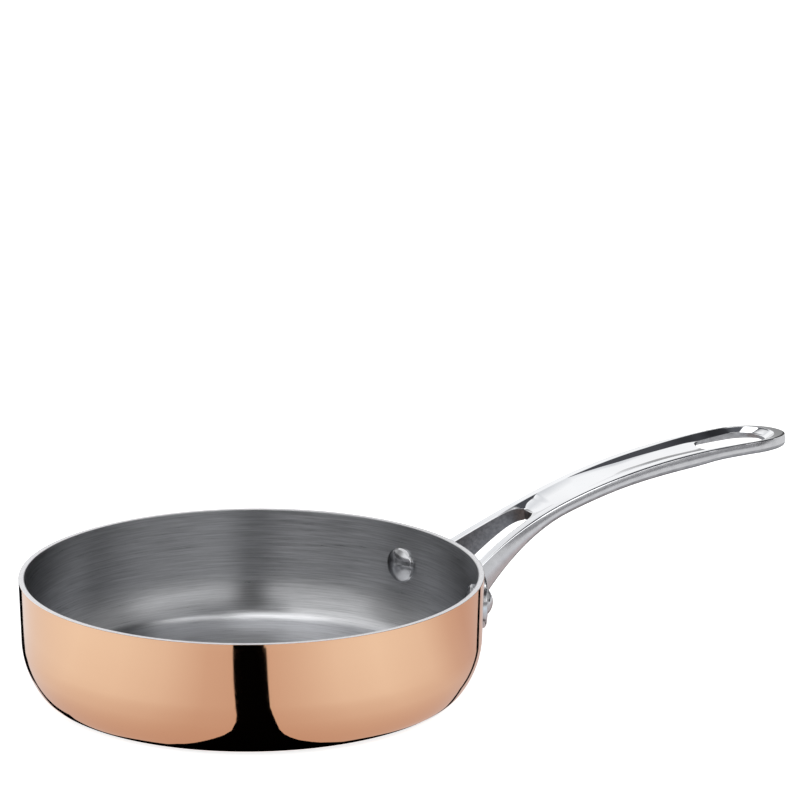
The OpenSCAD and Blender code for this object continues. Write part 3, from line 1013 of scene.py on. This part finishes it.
def area_light(name, place, side):
    data = bpy.data.lights.new(name, "AREA")
    data.shape = "RECTANGLE"
    data.size = data.size_y = side
    data.energy = LIGHT_POWER
    obj = bpy.data.objects.new(name, data)
    obj.location = place
    obj.rotation_euler = (Vector(LIGHT_AIM) - Vector(place)).to_track_quat("-Z", "Y").to_euler()
    obj.visible_glossy = False
    bpy.context.scene.collection.objects.link(obj)


area_light("left light", (-0.9, -0.7, 1.0), 0.6)
area_light("right light", (1.0, -0.4, 0.9), 0.6)
area_light("top light", (0.0, 0.3, 1.3), 1.2)


# World, as polished metal sees it: values by direction, with z up, front towards the camera and
# right to the right of it

# A pale band over a dim horizon, dark above it
BANDS = [(0.0, (0.20, 0.20, 0.21)), (0.235, (0.22, 0.22, 0.23)), (0.265, (1, 1, 1)), (0.52, (1, 1, 1)),
         (0.62, (0.62, 0.63, 0.65)), (0.665, (0.07, 0.072, 0.08))]
# How bright the room is round about, as shares of ROOM
ROOM = 1.5
ROOM_TURNS = [(-180, 0.667), (-150, 0.667), (-125, 0.2), (-103, 0.36), (-87, 0.22), (-75, 0.36),
              (-62, 0.8), (-35, 0.8), (-9, 0.95), (11, 0.9), (16, 0.95), (53, 0.98), (64, 0.72),
              (77, 0.34), (95, 0.3), (124, 0.24), (150, 0.667), (180, 0.667)]
GAP_TURN, GAP_TOP, GAP_DEPTH, BRIM_DEPTH = math.radians(6), 0.62, 0.8, 0.35
FILL_STRENGTH = 0.2


def make_world():
    world = bpy.data.worlds.new("studio")
    bpy.context.scene.world = world
    world.use_nodes = True
    tree = world.node_tree
    tree.nodes.clear()
    out = tree.nodes.new("ShaderNodeOutputWorld")
    x, y, z = split(tree, tree.nodes.new("ShaderNodeTexCoord").outputs["Generated"])
    front, right = camera_parts(tree, x, y)
    level = ramp(tree, z, BANDS)
    around = by_turn(tree, front, right, ROOM_TURNS)
    # A soft panel overhead, a small one beside it on the right, and a pale one high on the left
    overhead = product(tree, rises(tree, z, 0.925, 0.94), falls(tree, right, 0.08, 0.14),
                       falls(tree, front, 0.3, 0.4))
    further = product(tree, rises(tree, z, 0.84, 0.9), rises(tree, right, 0.1, 0.16),
                      rises(tree, front, -0.14, -0.06), falls(tree, front, 0.1, 0.16))
    beside = product(tree, rises(tree, z, 0.58, 0.64), falls(tree, right, -0.275, -0.235))
    # The low band is paler behind the pan, and more so on the left
    behind = product(tree, falls(tree, z, 0.235, 0.265), falls(tree, front, -0.5, -0.3))
    behind_left = product(tree, behind, falls(tree, right, -0.035, 0.005))
    # The room is dim far off on the right, which outlines the nose
    corner = product(tree, falls(tree, z, 0.6, 0.66), rises(tree, right, 0.12, 0.17),
                     falls(tree, front, -0.6, -0.5))
    # A narrow dark gap towards the camera, a wider one in its upper part, and a dimmer top of the
    # band on the camera's side
    squared = maths(tree, "SUBTRACT", 1.0, product(tree, z, z))
    level_part = maths(tree, "SQRT", maths(tree, "MAXIMUM", squared, 1e-6))
    turn = maths(tree, "DIVIDE", front, level_part)
    gap = product(tree, maths(tree, "GREATER_THAN", turn, math.cos(GAP_TURN)),
                  maths(tree, "LESS_THAN", z, GAP_TOP))
    steep = product(tree, rises(tree, z, 0.3, 0.36), rises(tree, turn, 0.982, 0.988))
    brim = product(tree, rises(tree, z, 0.42, 0.5), rises(tree, front, 0.4, 0.5))
    keep = [maths(tree, "SUBTRACT", 1.0, product(tree, share, depth))
            for share, depth in ((gap, GAP_DEPTH), (steep, GAP_DEPTH), (brim, BRIM_DEPTH))]
    seen = scaled(tree, level, product(tree, product(tree, around, ROOM), product(tree, *keep)))
    for share, value in ((behind, 0.36), (behind_left, 0.8), (corner, 0.08), (beside, 1.0),
                         (further, 2.0), (overhead, 2.0)):
        seen = blend(tree, share, seen, grey(value))
    # White to the camera, the studio to polished metal, and a low fill to the rest
    kind = "ShaderNodeBackground"
    studio = shader(tree, kind, seen)
    plain = shader(tree, kind, grey(1.0))
    fill = shader(tree, kind, grey(1.0), FILL_STRENGTH)
    path = tree.nodes.new("ShaderNodeLightPath")
    mirrored = maths(tree, "MAXIMUM", path.outputs["Is Glossy Ray"], path.outputs["Is Transmission Ray"])
    unseen = shader_blend(tree, mirrored, fill, studio)
    tree.links.new(shader_blend(tree, path.outputs["Is Camera Ray"], unseen, plain), out.inputs[0])


make_world()
bpy.context.scene.view_settings.view_transform = "Standard"
